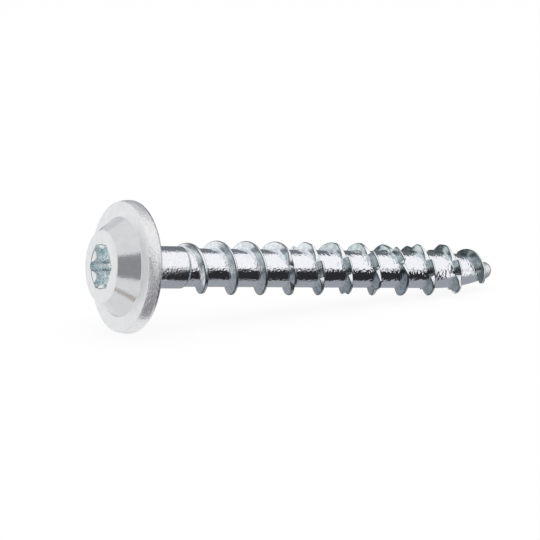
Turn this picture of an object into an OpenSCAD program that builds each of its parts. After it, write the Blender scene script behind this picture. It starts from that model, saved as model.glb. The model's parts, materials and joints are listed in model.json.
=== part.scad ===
// Concrete screw: a one-piece self-tapping anchor for masonry, with a washer head,
// a six-lobed drive recess and a coarse right-hand thread whose crest is cut into teeth.
// The screw lies on the floor, on the rim of its head and on its thread.

/* [Head] */
// Diameter of the washer flange over its rounded rim
flange_d = 18.45; // [17:0.05:20]
// Thickness of the flange
flange_t = 2.25; // [1.9:0.05:2.6]
// Radius of the rim's rounding on the underside
rim_round = 0.8; // [0.4:0.05:1]
// Radius of the rim's rounding at the front
front_round = 0.35; // [0.15:0.05:0.6]
// Diameter at the foot of the head's cone
cone_foot_d = 13.85; // [12.5:0.05:14.5]
// Diameter of the flat front face, without its rounded edge
face_d = 9.6; // [8.8:0.1:10.4]
// Height of the whole head over the surface that it clamps
head_h = 5.05; // [4.6:0.05:5.6]
// Radius of the rounded edge of the front face
face_round = 0.45; // [0.2:0.05:0.8]
// Radius of the hollow where the cone meets the flange
foot_round = 0.25; // [0.1:0.05:0.5]

/* [Drive recess] */
// Distance between the tips of opposite lobes
recess_a = 6.75; // [6.2:0.05:7]
// Distance between opposite inner bulges
recess_b = 4.85; // [4.5:0.05:5.1]
// Radius of each lobe's tip
lobe_r = 0.6; // [0.45:0.05:0.7]
// Depth of the lobed part of the recess
recess_depth = 2.6; // [2:0.1:3]
// Depth of the conical bottom below the lobes
recess_point = 0.9; // [0.5:0.1:1.1]
// Diameter of the recess's countersunk mouth
mouth_d = 6.6; // [5.8:0.05:7]
// Depth of the countersink
mouth_depth = 0.4; // [0.2:0.05:0.8]

/* [Shank] */
// Length from the clamping surface to the end of the nose
length = 60; // [57:0.5:80]
// Diameter of the plain shank under the head
shank_d = 5.9; // [5.75:0.05:6.3]
// Length of the plain shank
shank_l = 7.2; // [6.8:0.1:7.8]
// Radius of the fillet between the head and the shank
neck_round = 0.5; // [0.2:0.1:0.8]
// Length of the cone from the plain shank down to the core
step_l = 0.5; // [0.3:0.1:0.8]
// Diameter of the core between the thread's turns
core_d = 5.4; // [5.2:0.05:5.65]
// Length of the curved taper that ends in the nose
taper_l = 8.75; // [7.5:0.25:10]
// Diameter of the round nose
nose_d = 2.6; // [2:0.1:3]

/* [Thread] */
// Diameter over the thread's crest
thread_d = 7.65; // [7.5:0.05:8.1]
// Distance that the thread advances in one turn
pitch = 4.76; // [4.5:0.02:5]
// Width of the thread's crest
crest_w = 0.35; // [0.25:0.05:0.5]
// Angle of each flank of the thread from square
flank_angle = 15; // [10:1:20]
// Distance from the end of the plain shank to the first turn at full height
lead_l = 5.85; // [5.4:0.05:6.4]
// Turns over which the thread grows out of the shank
run_in = 1.4; // [1.1:0.05:1.45]
// Distance from the place where the thread ends on the taper to the end of the nose
bare_end = 2.0; // [1.8:0.05:2.4]
// Turns over which the thread gets lower before it ends
run_out = 0.2; // [0.1:0.05:0.3]
// Share of the thread's height that is left where it ends
end_share = 0.5; // [0.3:0.05:0.8]

/* [Teeth] */
// Place of the first upright tooth, in turns after the first full one
first_tooth = 2.3; // [2:0.05:2.6]
// Distance from tooth to tooth, in turns
tooth_gap = 0.49; // [0.46:0.01:0.52]
// Share of the thread's height that a notch beside a tooth takes away
notch_depth = 0.88; // [0.5:0.02:0.92]
// Share of the thread's height that a nick takes away
nick_depth = 0.6; // [0.3:0.05:0.8]
// Width of an upright tooth, in turns
tooth_w = 0.1; // [0.08:0.01:0.12]
// Length of the slope that falls to a tooth's foot, in turns
fall_l = 0.11; // [0.08:0.01:0.12]
// Length of the slope that rises from a tooth's foot, in turns
rise_l = 0.08; // [0.06:0.01:0.1]
// Length of each steep side, in turns
steep_l = 0.012; // [0.008:0.002:0.02]

/* [Rest] */
// Turn of the screw about its own axis, as it lies
roll = -10; // [-180:0.1:180]

/* [Hidden] */

// How far each tooth stands out of step with an even row, in turns; a longer row starts again
TOOTH_SHIFTS = [0, 0.07, -0.03, -0.1, -0.04, 0.01, -0.06, -0.01, -0.09, 0, 0.03, -0.03, 0.05, 0.1];
// Place of each nick between the teeth, in teeth after the first one, and its width in turns
NICKS = [[4.49, 0.1], [6.41, 0.14], [9.55, 0.09], [11.51, 0.1], [12.71, 0.14]];
// Turns at the end of the thread that have no tooth
bare_turns = 0.65;

// Overlap by which a cut passes the face that it starts from
eps = 0.01;
// Steps of each rounded edge
arc_steps = 8;
// Angle between the even sections of the thread
ring_step = 10;
// Depth of the thread's root inside the core
sink = 0.35;
// An even section that lies closer than this to a corner of a cut is left out, in turns
near_corner = 0.006;

flange_r = flange_d / 2;
shank_r = shank_d / 2;
core_r = core_d / 2;
nose_r = nose_d / 2;
thread_h = thread_d / 2 - core_r;
first_turn = shank_l + lead_l;
last_turn = (length - bare_end - first_turn) / pitch;
taper_start = length - nose_r - taper_l;
taper_arc = (taper_l * taper_l + pow(core_r - nose_r, 2)) / (2 * (core_r - nose_r));

// Radius of the core, with its curved taper, at a distance from the clamping surface
function core_r_at(x) =
    x <= taper_start ? core_r
    : core_r - taper_arc + sqrt(pow(taper_arc, 2) - pow(min(x - taper_start, taper_l), 2));

// Place of a turn of the thread along the axis
function turn_x(t) = first_turn + pitch * t;

// Place of tooth i, in turns, and the middles of all teeth
function tooth_at(i) = first_tooth + tooth_gap * i;
TEETH = [for (i = [0:floor((last_turn - bare_turns - first_tooth) / tooth_gap)])
    let (c = tooth_at(i) + TOOTH_SHIFTS[i % len(TOOTH_SHIFTS)])
    if (c < last_turn - bare_turns) c];
NICKED = [for (n = NICKS) [tooth_at(n[0]), n[1] / 2]];

// Share of the full height at turn t, for one cut with its foot at c
function cut_share(t, c, before, after, depth) =
    t <= c - before || t >= c + after ? 1
    : t < c ? 1 - depth * (t - c + before) / before
    : 1 - depth * (c + after - t) / after;

// Share of the full height at turn t beside and on the upright tooth at c
function tooth_share(t, c) = min(
    cut_share(t, c - tooth_w / 2 - steep_l, fall_l, steep_l, notch_depth),
    cut_share(t, c + tooth_w / 2 + steep_l, steep_l, rise_l, notch_depth));

// The thread grows out of the shank, and gets lower towards its end
function whole_share(t) =
    t < 0 ? pow(max(t + run_in, 0.001) / run_in, 1 / 3)
    : min(1, end_share + (1 - end_share) * (last_turn - t) / run_out);

function height_share(t) = min(concat(
    [whole_share(t)],
    [for (c = TEETH) tooth_share(t, c)],
    [for (n = NICKED) cut_share(t, n[0], n[1], n[1], nick_depth)]));

function sorted(v) =
    len(v) < 2 ? v
    : let (p = v[0], rest = [for (i = [1:len(v) - 1]) v[i]])
      concat(sorted([for (a = rest) if (a < p) a]), [p], sorted([for (a = rest) if (a >= p) a]));

// Turns at which the thread's section is set: even steps, and each corner of a cut
EVEN_TURNS = [for (a = [-run_in * 360 : ring_step : last_turn * 360]) a / 360];
TOOTH_TURNS = [for (c = TEETH) each [
    c - tooth_w / 2 - steep_l - fall_l, c - tooth_w / 2 - steep_l, c - tooth_w / 2,
    c + tooth_w / 2, c + tooth_w / 2 + steep_l, c + tooth_w / 2 + steep_l + rise_l]];
NICK_TURNS = [for (n = NICKED) each [n[0] - n[1], n[0], n[0] + n[1]]];
CORNER_TURNS = sorted([for (t = concat(TOOTH_TURNS, NICK_TURNS)) if (t < last_turn - 0.01) t]);
FREE_TURNS = [for (t = EVEN_TURNS)
    if (min([for (c = CORNER_TURNS) abs(t - c)]) > near_corner) t];
TURNS = sorted(concat(FREE_TURNS, CORNER_TURNS, [last_turn]));

// A point of the thread: t in turns, r from the axis, dx along it
function thread_point(t, r, dx) =
    [turn_x(t) + dx, -r * sin(360 * t), r * cos(360 * t)];

// The section of the thread at one turn: root, two crest corners, root
function thread_ring(t) =
    let (
        root = core_r_at(turn_x(t)),
        h = thread_h * height_share(t),
        foot = crest_w / 2 + (thread_h + sink) * tan(flank_angle),
        top = crest_w / 2 + (thread_h - h) * tan(flank_angle))
    [
        thread_point(t, root - sink, -foot),
        thread_point(t, root + h, -top),
        thread_point(t, root + h, top),
        thread_point(t, root - sink, foot)
    ];

module thread() {
    rings = [for (t = TURNS) thread_ring(t)];
    n = len(rings);
    corners = 4;
    points = [for (ring = rings) each ring];
    sides = [for (i = [0:n - 2], k = [0:corners - 1])
        let (a = i * corners + k, b = i * corners + (k + 1) % corners)
        each [[a, b, a + corners], [b, b + corners, a + corners]]];
    last = (n - 1) * corners;
    ends = [[0, 2, 1], [0, 3, 2], [last, last + 1, last + 2], [last, last + 2, last + 3]];
    polyhedron(points = points, faces = concat(sides, ends));
}

// Points of an arc about a centre, from one angle to another
function arc(centre, r, from, to) =
    [for (i = [0:arc_steps]) let (a = from + (to - from) * i / arc_steps)
        centre + r * [cos(a), sin(a)]];

// Outline of the turned blank, from the front of the head to the nose:
// the first number is the distance from the axis, the second goes towards the tip
module blank_outline() {
    face_arc = [face_d / 2, face_round - head_h];
    foot = [cone_foot_d / 2, -flange_t];
    run = foot - face_arc;
    cone_angle = acos(face_round / norm(run)) - atan2(run[1], run[0]);
    foot_arc = foot + foot_round * [(1 - sin(cone_angle)) / cos(cone_angle), -1];
    polygon(concat(
        [[0, -head_h]],
        arc(face_arc, face_round, -90, -cone_angle),
        arc(foot_arc, foot_round, 180 - cone_angle, 90),
        arc([flange_r - front_round, front_round - flange_t], front_round, -90, 0),
        arc([flange_r - rim_round, -rim_round], rim_round, 0, 90),
        arc([shank_r + neck_round, neck_round], neck_round, 270, 180),
        [[shank_r, shank_l], [core_r, shank_l + step_l]],
        [for (i = [0:arc_steps]) let (x = taper_start + taper_l * i / arc_steps) [core_r_at(x), x]],
        arc([0, length - nose_r], nose_r, 90 / arc_steps, 90)));
}

// The six-lobed outline: lobe tips and the hollows between them meet smoothly
module recess_outline() {
    tip_at = recess_a / 2 - lobe_r;
    b = recess_b / 2;
    bulge_r = (tip_at * tip_at + b * b - lobe_r * lobe_r - 2 * tip_at * b * cos(30))
        / (2 * (lobe_r + tip_at * cos(30) - b));
    bulge_at = b + bulge_r;
    way = [bulge_at * cos(30) - tip_at, bulge_at * sin(30)];
    meet = [tip_at, 0] + way * lobe_r / norm(way);
    difference() {
        polygon([for (k = [0:5], side = [-1, 1])
            let (a = atan2(side * meet[1], meet[0]) + 60 * k) norm(meet) * [cos(a), sin(a)]]);
        for (k = [0:5])
            rotate(60 * k + 30) translate([bulge_at, 0]) circle(r = bulge_r, $fn = 64);
    }
    for (k = [0:5])
        rotate(60 * k) translate([tip_at, 0]) circle(r = lobe_r, $fn = 32);
}

module recess() {
    mouth_slope = (mouth_d - recess_b + 0.2) / 2 / mouth_depth;
    translate([0, 0, -head_h - eps])
        cylinder(h = mouth_depth + eps, r1 = mouth_d / 2 + eps * mouth_slope, r2 = recess_b / 2 - 0.1,
            $fn = 64);
    translate([0, 0, -head_h - eps])
        linear_extrude(recess_depth + eps) rotate(90) recess_outline();
    translate([0, 0, -head_h + recess_depth - eps])
        cylinder(h = recess_point + eps, r1 = recess_b / 2 - eps, r2 = 0.2, $fn = 64);
}

// Turns a shape built along +Z, with the head below, to lie along +X
module along_x() {
    rotate([0, 90, 0]) children();
}

// The turned blank with its drive recess
module blank() {
    along_x() difference() {
        rotate_extrude($fn = 128) blank_outline();
        recess();
    }
}

// Tilt at which a point of the crest, x along the axis and r below it, meets the floor
// while the rim's rounding rests on it
function tilt_at(x, r) =
    let (gap = [x + rim_round, flange_r - rim_round - r])
    atan2(gap[1], gap[0]) + asin(rim_round / norm(gap));

// The screw's tip comes down until the first point of its crest meets the floor
tilt = min([for (t = TURNS) if (t > 0)
    let (h = thread_h * height_share(t), x = turn_x(t))
    tilt_at(x + crest_w / 2 + (thread_h - h) * tan(flank_angle),
        -(core_r_at(x) + h) * cos(360 * t + roll))]);

module screw() {
    color("silver")
        rotate([0, tilt, 0]) rotate([roll, 0, 0]) {
            blank();
            thread();
        }
}

screw();
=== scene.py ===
# Concrete screw: the finished surfaces of a one-piece masonry anchor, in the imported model's frame.
# The screw is modelled along +X with its bearing face at the origin, in millimetres,
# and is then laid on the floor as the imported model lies.
import json
import math

import bmesh
import bpy
from mathutils import Matrix, Vector


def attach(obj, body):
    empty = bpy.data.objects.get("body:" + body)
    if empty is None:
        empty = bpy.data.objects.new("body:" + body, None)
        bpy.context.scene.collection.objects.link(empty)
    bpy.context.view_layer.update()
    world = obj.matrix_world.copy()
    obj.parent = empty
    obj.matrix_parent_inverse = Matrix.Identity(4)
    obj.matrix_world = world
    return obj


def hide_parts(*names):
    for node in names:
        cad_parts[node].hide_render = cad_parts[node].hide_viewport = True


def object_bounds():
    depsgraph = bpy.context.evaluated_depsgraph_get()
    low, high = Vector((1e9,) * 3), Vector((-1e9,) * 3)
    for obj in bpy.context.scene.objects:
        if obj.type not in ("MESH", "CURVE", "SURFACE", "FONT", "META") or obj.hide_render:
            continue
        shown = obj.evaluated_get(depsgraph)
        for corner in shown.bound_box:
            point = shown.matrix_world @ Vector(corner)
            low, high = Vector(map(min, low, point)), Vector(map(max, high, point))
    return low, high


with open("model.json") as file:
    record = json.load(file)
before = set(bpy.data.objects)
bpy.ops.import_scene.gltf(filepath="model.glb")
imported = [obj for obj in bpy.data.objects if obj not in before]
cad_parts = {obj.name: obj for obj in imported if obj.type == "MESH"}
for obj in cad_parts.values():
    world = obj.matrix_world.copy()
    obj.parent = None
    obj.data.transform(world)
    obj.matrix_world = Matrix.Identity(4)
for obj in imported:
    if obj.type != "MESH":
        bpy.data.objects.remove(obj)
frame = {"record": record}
cad_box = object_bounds()

# Millimetres to metres
MM = 0.001

# How the screw lies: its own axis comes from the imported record, its turn about that axis is set
SCREW_AXIS = Vector(frame["record"]["mounts"][0]["axis"])
TILT = math.atan2(-SCREW_AXIS.z, SCREW_AXIS.x)
ROLL = math.radians(-10)
LAID = Matrix.Rotation(TILT, 4, "Y") @ Matrix.Rotation(ROLL, 4, "X")
FLOOR_Z = cad_box[0].z

# Head; the rim bulges a little between its two roundings
FLANGE_R = 9.225
FLANGE_T = 2.25
RIM_ROUND = 0.8
FRONT_ROUND = 0.15
BULGE_TURN = 18
BULGE_R = FRONT_ROUND + (FLANGE_T - RIM_ROUND - FRONT_ROUND) / math.sin(math.radians(BULGE_TURN))
CONE_FOOT_R = 6.925
FACE_R = 4.7
HEAD_H = 5.05
FACE_ROUND = 0.4
FOOT_ROUND = 0.25

# Drive recess: across its lobes and between them, then its countersunk mouth and pointed floor
RECESS_A = 6.75
RECESS_B = 4.85
LOBE_R = 0.6
RECESS_DEPTH = 2.6
MOUTH_R = 3.05
MOUTH_DEPTH = 0.4
MOUTH_REACH = 0.1
MOUTH_SLOPE = (MOUTH_R - RECESS_B / 2 + MOUTH_REACH) / MOUTH_DEPTH
MOUTH_EDGE = 0.04
MOUTH_BAND = 0.03
RECESS_POINT = 0.9
POINT_LEDGE = 0.05
POINT_SHARE = 0.1
POINT_WAVE = 0.01
POINT_LOBE = 0.9

# Shank
LENGTH = 60.0
SHANK_R = 2.95
SHANK_L = 7.2
NECK_ROUND = 0.5
STEP_L = 0.5
STEP_EDGE = 0.2
STEP_ROUND = 0.02
CORE_R = 2.7
TAPER_L = 8.75
NOSE_R = 1.3
TAPER_START = LENGTH - NOSE_R - TAPER_L
TAPER_ARC = (TAPER_L**2 + (CORE_R - NOSE_R) ** 2) / (2 * (CORE_R - NOSE_R))

# Thread
THREAD_H = 7.65 / 2 - CORE_R
PITCH = 4.76
CREST_W = 0.35
FLANK = math.tan(math.radians(15))
FIRST_TURN = SHANK_L + 5.85
BARE_END = 2.0
LAST_TURN = (LENGTH - BARE_END - FIRST_TURN) / PITCH
RUN_IN = 1.4
RUN_IN_CURVE = 1 / 3
RUN_IN_START = 0.001
RUN_OUT = 0.2
END_SHARE = 0.5

# Section of the thread: roundings at root and crest, and how far its foot is sunk into the core
ROOT_ROUND = 0.3
ROOT_SHARE = 0.6
ROOT_SINK = 0.004
CREST_ROUND = 0.1
CREST_SHARE = 0.2
CREST_CORNER = 0.25
SINK = 0.35

# Teeth, in turns after the first full one: each tooth's middle, and each nick with its width
TEETH = [2.30, 2.86, 3.25, 3.67, 4.22, 4.76, 5.18, 5.72, 6.13, 6.71, 7.23, 7.66, 8.23, 8.77]
NICKS = [(4.50, 0.10), (5.44, 0.14), (6.98, 0.09), (7.94, 0.10), (8.53, 0.14)]
NOTCH_DEPTH = 0.88
NICK_DEPTH = 0.6
TOOTH_W = 0.1
FALL_L = 0.11
RISE_L = 0.08
STEEP_L = 0.012
TOOTHED_TURN = 3.3
TOOTHED_FROM = FIRST_TURN + PITCH * TOOTHED_TURN
END_FROM = FIRST_TURN + PITCH * TEETH[-1]

# Fineness of the meshes; even sections that lie nearly on a tooth's corner are left out
AROUND = 192
ARC_STEPS = 6
MOUTH_STEPS = 9
TAPER_STEPS = 24
NOSE_STEPS = 12
ROOT_STEPS = 4
HALF_POINTS = ROOT_STEPS + 5
SECTIONS_PER_TURN = 180
CORNER_CLEAR = 0.4 / SECTIONS_PER_TURN

# How near a face's middle lies to a plane to belong to it, and a point to be at a place
NEAR = 0.01
SAME_PLACE = 0.001


# Shapes that both the blank and the thread need


def core_radius(x):
    """Radius of the core at a distance from the bearing face."""
    if x <= TAPER_START:
        return CORE_R
    return CORE_R - TAPER_ARC + math.sqrt(TAPER_ARC**2 - min(x - TAPER_START, TAPER_L) ** 2)


def arc(x, r, radius, start, end, steps=ARC_STEPS):
    """Points of a rounded edge about (x, r); 0 degrees points outwards and 90 towards the tip."""
    turns = [math.radians(start + (end - start) * i / steps) for i in range(steps + 1)]
    return [(x + radius * math.sin(a), r + radius * math.cos(a)) for a in turns]


def recess_radius(angle, half_a, half_b, lobe_r):
    """Distance from the axis to the six-lobed outline; a lobe's tip is at angle 0."""
    off = abs((angle + math.pi / 6) % (math.pi / 3) - math.pi / 6)
    tip_at = half_a - lobe_r
    cos30 = math.cos(math.pi / 6)
    bulge_r = (tip_at**2 + half_b**2 - lobe_r**2 - 2 * tip_at * half_b * cos30) / (
        2 * (lobe_r + tip_at * cos30 - half_b)
    )
    bulge_at = half_b + bulge_r
    way = Vector((bulge_at * cos30 - tip_at, bulge_at / 2)).normalized()
    meet = math.atan2(lobe_r * way.y, tip_at + lobe_r * way.x)
    if off < meet:
        return tip_at * math.cos(off) + math.sqrt(lobe_r**2 - (tip_at * math.sin(off)) ** 2)
    away = math.pi / 6 - off
    return bulge_at * math.cos(away) - math.sqrt(bulge_r**2 - (bulge_at * math.sin(away)) ** 2)


# The turned blank: a ring of edges is drawn along the axis and widened or narrowed at each station


def head_stations():
    """Stations of the head's outside, from the front face's edge to the bearing face."""
    face_arc = (FACE_ROUND - HEAD_H, FACE_R)
    foot = (-FLANGE_T, CONE_FOOT_R)
    run = Vector((foot[0] - face_arc[0], foot[1] - face_arc[1]))
    slope = math.degrees(math.acos(FACE_ROUND / run.length) - math.atan2(run.x, run.y))
    lean = math.radians(slope)
    foot_arc_r = foot[1] + FOOT_ROUND * (1 - math.sin(lean)) / math.cos(lean)
    stations = arc(*face_arc, FACE_ROUND, -90, -slope)
    stations += arc(foot[0] - FOOT_ROUND, foot_arc_r, FOOT_ROUND, 180 - slope, 90)
    bulge = math.radians(BULGE_TURN)
    front_arc_r = FLANGE_R - BULGE_R + (BULGE_R - FRONT_ROUND) * math.cos(bulge)
    stations += arc(FRONT_ROUND - FLANGE_T, front_arc_r, FRONT_ROUND, -90, -BULGE_TURN)
    stations += arc(-RIM_ROUND, FLANGE_R - BULGE_R, BULGE_R, -BULGE_TURN, 0)
    stations += arc(-RIM_ROUND, FLANGE_R - RIM_ROUND, RIM_ROUND, 0, 90)
    return stations


def shank_stations():
    """Stations of the shank, from its neck to the nose."""
    stations = arc(NECK_ROUND, SHANK_R + NECK_ROUND, NECK_ROUND, -90, -180)
    step_from = SHANK_L + STEP_L * STEP_EDGE
    step_to = SHANK_L + STEP_L * (1 - STEP_EDGE)
    stations += [(SHANK_L, SHANK_R), (step_from, SHANK_R - STEP_ROUND)]
    stations += [(step_to, CORE_R + STEP_ROUND), (SHANK_L + STEP_L, CORE_R)]
    stations.append((TOOTHED_FROM, CORE_R))
    for i in range(TAPER_STEPS + 1):
        x = TAPER_START + TAPER_L * i / TAPER_STEPS
        stations.append((x, core_radius(x)))
    stations += arc(LENGTH - NOSE_R, 0, NOSE_R, 6, 84, NOSE_STEPS)
    return stations


def draw_through(stations, x, radius):
    """Extrudes the selected ring from (x, radius) through each station in turn."""
    for next_x, next_radius in stations:
        bpy.ops.mesh.extrude_edges_move(TRANSFORM_OT_translate={"value": (next_x - x, 0, 0)})
        share = next_radius / radius
        bpy.ops.transform.resize(value=(1, share, share), center_override=(0, 0, 0))
        x, radius = next_x, next_radius


def set_lobed(piece, x, half_a, half_b, lobe_r, least=0.0):
    """Extrudes the selected ring and lays it on the six-lobed outline, or on a wider circle."""
    bpy.ops.mesh.extrude_edges_move(TRANSFORM_OT_translate={"value": (0, 0, 0)})
    mesh = bmesh.from_edit_mesh(piece.data)
    for v in mesh.verts:
        if v.select:
            angle = math.atan2(v.co.z, v.co.y)
            r = max(least, recess_radius(angle, half_a, half_b, lobe_r))
            v.co = (x, r * math.cos(angle), r * math.sin(angle))
    bmesh.update_edit_mesh(piece.data)


def select_ring(piece, x, radius):
    """Selects the open ring of edges at a station."""
    bpy.ops.mesh.select_all(action="DESELECT")
    mesh = bmesh.from_edit_mesh(piece.data)
    for v in mesh.verts:
        off = max(abs(v.co.x - x), abs(math.hypot(v.co.y, v.co.z) - radius))
        if off < SAME_PLACE:
            v.select = True
    mesh.select_flush(True)
    bmesh.update_edit_mesh(piece.data)


def turned_blank():
    """The screw without its thread: washer head, recess, shank, core, taper and nose."""
    outside = head_stations() + shank_stations()
    mouth_x, mouth_r = outside[0]
    bpy.ops.object.select_all(action="DESELECT")
    bpy.ops.mesh.primitive_circle_add(vertices=AROUND, radius=mouth_r, rotation=(0, math.pi / 2, 0))
    piece = bpy.context.object
    bpy.ops.object.transform_apply(location=False, rotation=True, scale=False)
    piece.data.transform(Matrix.Translation((mouth_x, 0, 0)))
    bpy.ops.object.mode_set(mode="EDIT")
    bpy.ops.mesh.select_mode(type="VERT")
    bpy.ops.mesh.select_all(action="SELECT")
    draw_through(outside[1:], mouth_x, mouth_r)
    bpy.ops.mesh.extrude_edges_move(TRANSFORM_OT_translate={"value": (0, 0, 0)})
    bpy.ops.mesh.merge(type="CENTER")

    select_ring(piece, mouth_x, mouth_r)
    half_a = RECESS_A / 2
    half_b = RECESS_B / 2
    floor_x = mouth_x + RECESS_DEPTH
    edge_r = MOUTH_R + MOUTH_EDGE
    set_lobed(piece, mouth_x, half_a + MOUTH_EDGE, half_b, LOBE_R + MOUTH_EDGE, edge_r)
    for step in range(MOUTH_STEPS):
        depth = MOUTH_EDGE + (MOUTH_DEPTH - MOUTH_EDGE) * step / (MOUTH_STEPS - 1)
        set_lobed(piece, mouth_x + depth, half_a, half_b, LOBE_R, MOUTH_R - MOUTH_SLOPE * depth)
    set_lobed(piece, floor_x, half_a, half_b, LOBE_R)
    point_r = half_b - POINT_LEDGE
    set_lobed(piece, floor_x, point_r, point_r - POINT_WAVE, point_r * POINT_LOBE)
    bpy.ops.mesh.extrude_edges_move(TRANSFORM_OT_translate={"value": (RECESS_POINT, 0, 0)})
    bpy.ops.transform.resize(value=(1, POINT_SHARE, POINT_SHARE), center_override=(0, 0, 0))
    bpy.ops.mesh.extrude_edges_move(TRANSFORM_OT_translate={"value": (0, 0, 0)})
    bpy.ops.mesh.merge(type="CENTER")
    bpy.ops.object.mode_set(mode="OBJECT")
    return piece


# The thread: a ridge whose section changes from tooth to tooth, laid ring by ring


def cut_share(t, foot, before, after, depth):
    """Share of the full height at turn t, for one cut with its foot at a given turn."""
    if t <= foot - before or t >= foot + after:
        return 1.0
    if t < foot:
        return 1 - depth * (t - foot + before) / before
    return 1 - depth * (foot + after - t) / after


def height_share(t):
    """Share of the full height of the thread at turn t."""
    if t < 0:
        shares = [(max(t + RUN_IN, RUN_IN_START) / RUN_IN) ** RUN_IN_CURVE]
    else:
        shares = [min(1.0, END_SHARE + (1 - END_SHARE) * (LAST_TURN - t) / RUN_OUT)]
    for middle in TEETH:
        side = TOOTH_W / 2 + STEEP_L
        shares.append(cut_share(t, middle - side, FALL_L, STEEP_L, NOTCH_DEPTH))
        shares.append(cut_share(t, middle + side, STEEP_L, RISE_L, NOTCH_DEPTH))
    for middle, width in NICKS:
        shares.append(cut_share(t, middle, width / 2, width / 2, NICK_DEPTH))
    return min(shares)


def corner_turns():
    """Turns at which the crest has a corner."""
    turns = []
    for middle in TEETH:
        near = TOOTH_W / 2
        far = near + STEEP_L
        turns += [middle - far - FALL_L, middle - far, middle - near]
        turns += [middle + near, middle + far, middle + far + RISE_L]
    for middle, width in NICKS:
        turns += [middle - width / 2, middle, middle + width / 2]
    return sorted(turns)


def section_turns():
    """All turns at which the thread has a section, and which of them are corners."""
    corners = corner_turns()
    count = int((LAST_TURN + RUN_IN) * SECTIONS_PER_TURN)
    even = [-RUN_IN + i / SECTIONS_PER_TURN for i in range(count + 1)]
    even = [t for t in even if min(abs(t - c) for c in corners) > CORNER_CLEAR]
    turns = sorted(even + corners + [LAST_TURN])
    return turns, set(corners)


def half_section(height):
    """Half of the ridge's section, from foot to crest: (distance from its middle, height)."""
    base = CREST_W / 2 + THREAD_H * FLANK
    lean = math.atan(FLANK)
    root = min(ROOT_ROUND, ROOT_SHARE * height)
    crest = min(CREST_ROUND, CREST_SHARE * height)
    corner = CREST_CORNER * crest
    centre = base - root * FLANK + root / math.cos(lean)
    turns = [i / ROOT_STEPS * (math.pi / 2 - lean) for i in range(ROOT_STEPS + 1)]
    points = [(centre, -SINK)]
    points += [(centre - root * math.sin(a), root - root * math.cos(a) - ROOT_SINK) for a in turns]
    top = base - height * FLANK
    points += [(top + crest * FLANK, height - crest), (top - corner, height - corner)]
    points += [(top - crest, height)]
    return points


def thread_ring(t):
    """The section's points at turn t, from the head's side to the tip's side."""
    x = FIRST_TURN + PITCH * t
    root = core_radius(x)
    half = half_section(THREAD_H * height_share(t))
    outline = [(-along, up) for along, up in half] + [(along, up) for along, up in reversed(half)]
    turn = 2 * math.pi * t
    around = Vector((0, -math.sin(turn), math.cos(turn)))
    return [Vector((x + along, 0, 0)) + around * (root + up) for along, up in outline]


def thread_ridge():
    """The coarse right-hand thread with its teeth, as one closed skin."""
    turns, corners = section_turns()
    mesh = bmesh.new()
    rings = [[mesh.verts.new(p) for p in thread_ring(t)] for t in turns]
    count = len(rings[0])
    for last, ring in zip(rings, rings[1:]):
        for k in range(count):
            after = (k + 1) % count
            mesh.faces.new((last[k], last[after], ring[after], ring[k]))
    mesh.faces.new(reversed(rings[0]))
    mesh.faces.new(rings[-1])
    above_root = range(HALF_POINTS - 4, HALF_POINTS + 3)
    for t, ring in zip(turns, rings):
        if t in corners or t == turns[-1]:
            for k in above_root:
                mesh.edges.get((ring[k], ring[k + 1])).smooth = False
    data = bpy.data.meshes.new("thread")
    mesh.to_mesh(data)
    mesh.free()
    piece = bpy.data.objects.new("thread", data)
    bpy.context.scene.collection.objects.link(piece)
    return piece


# Finishes. Noise keeps near its middle, so tone and gloss run over the middle of its range
TONE_SPAN = (0.35, 0.65)
GLOSS_SPAN = (0.3, 0.7)


def node(tree, kind, x, y, **values):
    """A new node at a place in the tree, with some of its inputs or settings set."""
    made = tree.nodes.new(kind)
    made.location = (x, y)
    for name, value in values.items():
        label = name.replace("_", " ").title()
        if label in made.inputs:
            made.inputs[label].default_value = value
        else:
            setattr(made, name, value)
    return made


def grain_group():
    """Shader group: the fine unevenness of zinc-plated steel, as a height and as a tone."""
    group = bpy.data.node_groups.new("zinc grain", "ShaderNodeTree")
    face = group.interface
    face.new_socket("Vector", in_out="INPUT", socket_type="NodeSocketVector")
    for name, value in (("Grain", 4000.0), ("Ripple", 600.0), ("Ripple Share", 0.5)):
        socket = face.new_socket(name, in_out="INPUT", socket_type="NodeSocketFloat")
        socket.default_value = value
    face.new_socket("Height", in_out="OUTPUT", socket_type="NodeSocketFloat")
    face.new_socket("Tone", in_out="OUTPUT", socket_type="NodeSocketFloat")
    start = node(group, "NodeGroupInput", -600, 0)
    end = node(group, "NodeGroupOutput", 400, 0)
    fine = node(group, "ShaderNodeTexNoise", -300, 150, detail=1.0, roughness=0.5)
    broad = node(group, "ShaderNodeTexNoise", -300, -150, detail=2.0, roughness=0.5)
    mix = node(group, "ShaderNodeMix", 0, 0)
    link = group.links.new
    for noise, size in ((fine, "Grain"), (broad, "Ripple")):
        link(start.outputs["Vector"], noise.inputs["Vector"])
        link(start.outputs[size], noise.inputs["Scale"])
    link(start.outputs["Ripple Share"], mix.inputs[0])
    link(fine.outputs[0], mix.inputs[2])
    link(broad.outputs[0], mix.inputs[3])
    link(mix.outputs[0], end.inputs["Height"])
    link(broad.outputs[0], end.inputs["Tone"])
    return group


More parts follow.
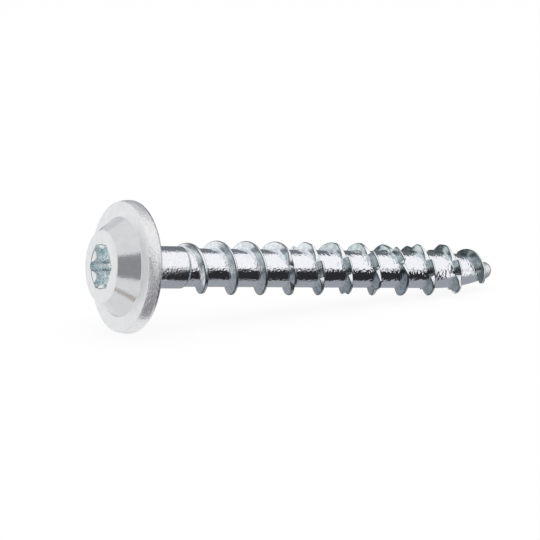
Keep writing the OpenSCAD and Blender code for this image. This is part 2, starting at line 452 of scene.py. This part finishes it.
def zinc(name, group, dark, light, rough, depth, grain, ripple, ripple_share, stretch=1):
    """Zinc-plated steel whose tone runs from dark to light, with its roughness and grain.

    The grain's depth is in millimetres. It is finer along the screw where stretch is over 1.
    """
    material = bpy.data.materials.new(name)
    material.use_nodes = True
    tree = material.node_tree
    shader = tree.nodes["Principled BSDF"]
    shader.inputs["Metallic"].default_value = 1.0
    place = node(tree, "ShaderNodeTexCoord", -1100, 0)
    turn = node(tree, "ShaderNodeMapping", -900, 0, rotation=(0, -TILT, 0), scale=(stretch, 1, 1))
    uneven = node(tree, "ShaderNodeGroup", -650, 0)
    uneven.node_tree = group
    uneven.inputs["Grain"].default_value = grain
    uneven.inputs["Ripple"].default_value = ripple
    uneven.inputs["Ripple Share"].default_value = ripple_share
    tone = node(tree, "ShaderNodeValToRGB", -350, 250)
    for stop, along, colour in zip(tone.color_ramp.elements, TONE_SPAN, (dark, light)):
        stop.position = along
        stop.color = (*colour, 1)
    gloss = node(tree, "ShaderNodeMapRange", -350, 0)
    gloss.inputs["From Min"].default_value = GLOSS_SPAN[0]
    gloss.inputs["From Max"].default_value = GLOSS_SPAN[1]
    gloss.inputs["To Min"].default_value = rough[0]
    gloss.inputs["To Max"].default_value = rough[1]
    bump = node(tree, "ShaderNodeBump", -350, -300)
    bump.inputs["Strength"].default_value = 1.0
    bump.inputs["Distance"].default_value = depth * MM
    link = tree.links.new
    link(place.outputs["Object"], turn.inputs["Vector"])
    link(turn.outputs["Vector"], uneven.inputs["Vector"])
    link(uneven.outputs["Tone"], tone.inputs["Fac"])
    link(uneven.outputs["Tone"], gloss.inputs["Value"])
    link(uneven.outputs["Height"], bump.inputs["Height"])
    link(tone.outputs["Color"], shader.inputs["Base Color"])
    link(gloss.outputs["Result"], shader.inputs["Roughness"])
    link(bump.outputs["Normal"], shader.inputs["Normal"])
    return material


def finishes():
    """The finishes of the screw's surfaces, in the order of the material slots; tooth, end and edge
    carry painted shade, recess painted light.
    """
    group = grain_group()
    return [
        zinc(
            "satin zinc", group, (0.76, 0.77, 0.78), (0.82, 0.83, 0.84), (0.36, 0.44),
            depth=0.004, grain=9000, ripple=900, ripple_share=0.3,
        ),
        zinc(
            "cone zinc", group, (0.63, 0.64, 0.65), (0.66, 0.67, 0.68), (0.13, 0.18),
            depth=0.015, grain=4400, ripple=900, ripple_share=0.1,
        ),
        zinc(
            "shank zinc", group, (0.82, 0.84, 0.88), (0.9, 0.9, 0.94), (0.12, 0.2),
            depth=0.045, grain=3400, ripple=2500, ripple_share=0.2,
        ),
        zinc(
            "core zinc", group, (0.84, 0.86, 0.9), (0.9, 0.91, 0.95), (0.06, 0.1),
            depth=0.07, grain=3200, ripple=2500, ripple_share=0.1,
        ),
        zinc(
            "streaked zinc", group, (0.84, 0.86, 0.9), (0.9, 0.91, 0.95), (0.05, 0.09),
            depth=0.13, grain=1500, ripple=2500, ripple_share=0.1, stretch=1.8,
        ),
        zinc(
            "flank zinc", group, (0.62, 0.67, 0.7), (0.86, 0.89, 0.91), (0.16, 0.26),
            depth=0.01, grain=4000, ripple=1500, ripple_share=0.5,
        ),
        # Painted shade: the toothed turns' flanks are the flank zinc made darker
        zinc(
            "tooth zinc with painted shade", group, (0.40, 0.46, 0.48), (0.66, 0.73, 0.75), (0.14, 0.24),
            depth=0.015, grain=4000, ripple=1500, ripple_share=0.5,
        ),
        # Painted shade: the last turns' flanks are the flank zinc made darker still
        zinc(
            "end zinc with painted shade", group, (0.22, 0.26, 0.27), (0.42, 0.47, 0.48), (0.14, 0.24),
            depth=0.015, grain=4000, ripple=1500, ripple_share=0.5,
        ),
        # Painted shade: a near-black copy of the zinc for the dark lines along the crest's edges,
        # round the recess mouth and at the shank's step
        zinc(
            "edge zinc with painted shade", group, (0.12, 0.14, 0.15), (0.3, 0.33, 0.34), (0.4, 0.5),
            depth=0.004, grain=4000, ripple=900, ripple_share=0.5,
        ),
        zinc(
            "crest zinc", group, (0.82, 0.86, 0.88), (0.95, 0.97, 0.99), (0.25, 0.35),
            depth=0.012, grain=4000, ripple=1200, ripple_share=0.5,
        ),
        # Painted light: the plating's own teal, lightened against the shade inside the recess, with
        # its ramp running up to white for painted highlight patches
        zinc(
            "recess zinc with painted highlights", group, (0.52, 0.67, 0.71), (1.0, 1.0, 1.0), (0.16, 0.34),
            depth=0.2, grain=3600, ripple=2000, ripple_share=0.8,
        ),
        zinc(
            "rim zinc", group, (0.78, 0.78, 0.79), (0.86, 0.86, 0.87), (0.3, 0.38),
            depth=0.1, grain=4200, ripple=2500, ripple_share=0.2,
        ),
    ]


# Material slots, in the order of the finishes
SATIN, CONE, SHANK, CORE, STREAKED_CORE, PLAIN_FLANK = range(6)
TOOTHED_FLANK_PAINTED_SHADE, END_FLANK_PAINTED_SHADE, PAINTED_SHADE_EDGE, CREST, RECESS_PAINTED_LIGHT, RIM = range(6, 12)


def blank_finish(middle):
    """Which finish a face of the blank has, by its middle."""
    radius = math.hypot(middle.y, middle.z)
    if middle.x > LENGTH - BARE_END:
        return SATIN
    # Painted shade: a dark ring where the shank steps down to the core
    if 0 < (middle.x - SHANK_L) / STEP_L < STEP_EDGE:
        return PAINTED_SHADE_EDGE
    if middle.x > SHANK_L:
        return CORE if middle.x < TOOTHED_FROM else STREAKED_CORE
    if middle.x > -NEAR:
        return SATIN if middle.x < NEAR else SHANK
    if middle.x > FRONT_ROUND * 0.5 - FLANGE_T and radius > FLANGE_R - RIM_ROUND:
        return RIM
    # Painted shade: a dark ring round the recess mouth
    if NEAR < middle.x + HEAD_H < MOUTH_EDGE and radius < MOUTH_R + 2 * MOUTH_EDGE:
        return PAINTED_SHADE_EDGE
    # The recess's walls and floor take the teal zinc with painted light and painted highlights; its
    # countersink band keeps the satin finish
    if middle.x > MOUTH_EDGE - HEAD_H and radius < RECESS_A / 2:
        mouth_r = MOUTH_R - MOUTH_SLOPE * (middle.x + HEAD_H)
        return SATIN if abs(radius - mouth_r) < MOUTH_BAND else RECESS_PAINTED_LIGHT
    if middle.x > -HEAD_H + FACE_ROUND * 0.5 and radius < CONE_FOOT_R:
        return CONE
    return SATIN


def ridge_finish(place, x):
    """Which finish a face of the thread has, by its place in the section and along the screw."""
    from_side = min(place, 2 * HALF_POINTS - 2 - place)
    if from_side == HALF_POINTS - 1:
        return CREST
    # Painted shade: the faces beside the crest land are dark outlines
    if from_side >= HALF_POINTS - 3:
        return PAINTED_SHADE_EDGE
    if x < TOOTHED_FROM:
        return PLAIN_FLANK
    # Painted shade: toothed and last turns take darker copies of the flank zinc
    return TOOTHED_FLANK_PAINTED_SHADE if x < END_FROM else END_FLANK_PAINTED_SHADE


def finished_screw():
    """Joins blank and thread, gives them their finishes and lays the screw on the floor."""
    blank = turned_blank()
    ridge = thread_ridge()
    for finish in finishes():
        blank.data.materials.append(finish)
        ridge.data.materials.append(finish)
    for face in blank.data.polygons:
        face.material_index = blank_finish(face.center)
        face.use_smooth = True
    for face in ridge.data.polygons:
        face.material_index = ridge_finish(face.index % (2 * HALF_POINTS), face.center.x)
        face.use_smooth = True
    bpy.ops.object.select_all(action="DESELECT")
    for piece in (ridge, blank):
        piece.select_set(True)
        bpy.context.view_layer.objects.active = piece
        bpy.ops.object.mode_set(mode="EDIT")
        bpy.ops.mesh.select_all(action="SELECT")
        bpy.ops.mesh.normals_make_consistent(inside=False)
        bpy.ops.object.mode_set(mode="OBJECT")
        piece.select_set(False)
    ridge.select_set(True)
    blank.select_set(True)
    bpy.context.view_layer.objects.active = blank
    bpy.ops.object.join()
    blank.name = "zinc_screw"
    blank.data.name = "zinc_screw"
    even = blank.modifiers.new("even normals", "WEIGHTED_NORMAL")
    even.keep_sharp = True
    bpy.ops.object.modifier_apply(modifier=even.name)
    blank.data.transform(Matrix.Scale(MM, 4))
    blank.data.transform(LAID)
    blank.data.update()
    return blank


# The studio: floor, light, cards that reflections show, and the camera.
# The rays that see the background's plain white, and how much of it the floor shows them
BACKGROUND_RAYS = ("Is Camera Ray", "Is Glossy Ray", "Is Transmission Ray")
FLOOR_WHITE = 0.9

# Sizes of floor and lamp and the lamp's place in metres, and the world's strength as light
FLOOR_SIZE = 6
LAMP_SIZE = 0.6
LAMP_PLACE = (0.03, 0, 0.6)
WORLD_LIGHT = 0.85


def white_on_rays(tree, under, share):
    """Shows plain white to the background's rays, in a share, and the under shader otherwise."""
    glow = node(tree, "ShaderNodeEmission", -200, 200)
    glow.inputs["Color"].default_value = (1, 1, 1, 1)
    glow.inputs["Strength"].default_value = 1.0
    path = node(tree, "ShaderNodeLightPath", -900, 300)
    total = path.outputs[BACKGROUND_RAYS[0]]
    for kind in BACKGROUND_RAYS[1:]:
        add = node(tree, "ShaderNodeMath", -600, 300, operation="MAXIMUM")
        tree.links.new(total, add.inputs[0])
        tree.links.new(path.outputs[kind], add.inputs[1])
        total = add.outputs[0]
    part = node(tree, "ShaderNodeMath", -400, 300, operation="MULTIPLY")
    part.inputs[1].default_value = share
    tree.links.new(total, part.inputs[0])
    mix = node(tree, "ShaderNodeMixShader", 0, 0)
    tree.links.new(part.outputs[0], mix.inputs[0])
    tree.links.new(under, mix.inputs[1])
    tree.links.new(glow.outputs[0], mix.inputs[2])
    return mix.outputs[0]


def white_floor():
    """A pale floor that keeps a faint shadow under the screw."""
    bpy.ops.object.select_all(action="DESELECT")
    bpy.ops.mesh.primitive_plane_add(size=FLOOR_SIZE, location=(0, 0, FLOOR_Z))
    floor = bpy.context.object
    floor.name = "floor"
    material = bpy.data.materials.new("white floor")
    material.use_nodes = True
    tree = material.node_tree
    shader = tree.nodes["Principled BSDF"]
    shader.inputs["Base Color"].default_value = (0.95, 0.95, 0.95, 1)
    shader.inputs["Roughness"].default_value = 0.9
    shader.inputs["Specular IOR Level"].default_value = 0.0
    shown = white_on_rays(tree, shader.outputs[0], FLOOR_WHITE)
    tree.links.new(shown, tree.nodes["Material Output"].inputs["Surface"])
    floor.data.materials.append(material)


def white_world():
    """White all round in the view and in reflections, and softer as light."""
    world = bpy.data.worlds.new("studio")
    bpy.context.scene.world = world
    world.use_nodes = True
    tree = world.node_tree
    soft = tree.nodes["Background"]
    soft.inputs["Color"].default_value = (1, 1, 1, 1)
    soft.inputs["Strength"].default_value = WORLD_LIGHT
    shown = white_on_rays(tree, soft.outputs[0], 1.0)
    tree.links.new(shown, tree.nodes["World Output"].inputs["Surface"])


def overhead_lamp():
    """One large soft lamp over the screw."""
    light = bpy.data.lights.new("overhead", "AREA")
    light.shape = "RECTANGLE"
    light.size = LAMP_SIZE
    light.size_y = LAMP_SIZE
    light.energy = math.pi * light.size * light.size_y
    lamp = bpy.data.objects.new("overhead", light)
    lamp.location = LAMP_PLACE
    lamp.visible_glossy = False
    bpy.context.scene.collection.objects.link(lamp)


def card(name, corners, colour):
    """A flat card that only reflections show. Corners are in millimetres."""
    data = bpy.data.meshes.new(name)
    data.from_pydata([Vector(c) * MM for c in corners], [], [range(len(corners))])
    piece = bpy.data.objects.new(name, data)
    bpy.context.scene.collection.objects.link(piece)
    material = bpy.data.materials.new(name)
    material.use_nodes = True
    tree = material.node_tree
    tree.nodes.remove(tree.nodes["Principled BSDF"])
    glow = node(tree, "ShaderNodeEmission", 0, 0)
    glow.inputs["Color"].default_value = (*colour, 1)
    tree.links.new(glow.outputs[0], tree.nodes["Material Output"].inputs["Surface"])
    data.materials.append(material)
    piece.visible_camera = False
    piece.visible_diffuse = False
    piece.visible_shadow = False
    piece.visible_transmission = False


def lying(corners, lift):
    """Corners of a card that lies just over the floor, from (x, y) pairs."""
    return [(x, y, FLOOR_Z / MM + lift) for x, y in corners]


def upright(distance, azimuth, width, bottom, top):
    """Corners of an upright card at an azimuth from the camera's side, positive towards the tip."""
    turn = math.radians(azimuth)
    middle = Vector((math.sin(turn), -math.cos(turn), 0)) * distance
    side = Vector((math.cos(turn), math.sin(turn), 0)) * width / 2
    low = Vector((0, 0, bottom))
    high = Vector((0, 0, top))
    return [middle - side + low, middle + side + low, middle + side + high, middle - side + high]


def reflection_cards():
    """Dark and grey cards, as a photographer sets them to give metal its bands, in millimetres."""
    floor = FLOOR_Z / MM
    near = [(3.2, -7.8), (7.5, -5.6), (25, -4.2), (40, -3.7), (51, -4.5)]
    card("black_card", lying(near + [(146, -170), (92, -170)], 0.4), (0.028, 0.028, 0.031))
    far = [(92, -170, floor), (300, -170, floor), (300, -170, 12), (92, -170, 12)]
    card("grey_far_card", far, (0.3, 0.31, 0.33))
    floor_grey = [(3, -5.6), (400, -5.6), (400, 100), (3, 100)]
    card("grey_floor_card", lying(floor_grey, 0.3), (0.345, 0.36, 0.385))
    rim = [(-4, -7.5), (1, -7.5), (13, -31), (9.5, -34), (72, -190), (-22, -190)]
    card("grey_rim_card", lying(rim, 0.5), (0.3, 0.3, 0.32))
    rim_top = [(2, 8, 9.5), (12, 8, 22), (22, 8, 60), (2, 8, 60)]
    card("grey_rim_top_card", rim_top, (0.6, 0.6, 0.62))
    card("dark_front_card", upright(200, -8, 90, floor, 115), (0.03, 0.03, 0.03))
    warm = [(-14, -9), (-5, -9), (-5, -6.8), (-14, -6.8)]
    card("warm_left_card", lying(warm, 0.4), (0.6, 0.56, 0.53))
    back = [(36, 8, floor), (125, 8, floor), (125, 8, 22), (36, 8, 22)]
    card("dark_back_card", back, (0.14, 0.16, 0.17))
    card("grey_back_card", upright(160, 138, 170, floor, 240), (0.18, 0.19, 0.21))
    card("pale_back_card", upright(160, 178, 60, floor, 130), (0.8, 0.81, 0.83))
    card("grey_left_card", upright(45, -48, 30, floor, 33), (0.37, 0.37, 0.39))


# View, as measured in the photograph: where the camera looks and from where
AIM = Vector((21.66, 0, -2.62)) * MM
AZIMUTH = math.radians(29.61)
ELEVATION = math.radians(12.30)
CAMERA_ROLL = math.radians(0.42)
DISTANCE = 344.6 * MM
LENS = 161.25
SENSOR = 36.0


def camera():
    """The camera at the photograph's viewing angle."""
    level = Vector((-math.sin(AZIMUTH), -math.cos(AZIMUTH), 0))
    back = level * math.cos(ELEVATION) + Vector((0, 0, math.sin(ELEVATION)))
    right = Vector((0, 0, 1)).cross(back).normalized()
    up = back.cross(right)
    turn = Matrix.Rotation(CAMERA_ROLL, 3, back)
    right = turn @ right
    up = turn @ up
    data = bpy.data.cameras.new("camera")
    data.lens = LENS
    data.sensor_width = SENSOR
    data.clip_start = 0.01
    eye = bpy.data.objects.new("camera", data)
    place = Matrix((right, up, back)).transposed().to_4x4()
    place.translation = AIM + back * DISTANCE
    eye.matrix_world = place
    bpy.context.scene.collection.objects.link(eye)
    bpy.context.scene.camera = eye


screw = finished_screw()
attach(screw, "root")
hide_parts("screw")

white_floor()
white_world()
overhead_lamp()
reflection_cards()
camera()
bpy.context.scene.view_settings.view_transform = "Standard"
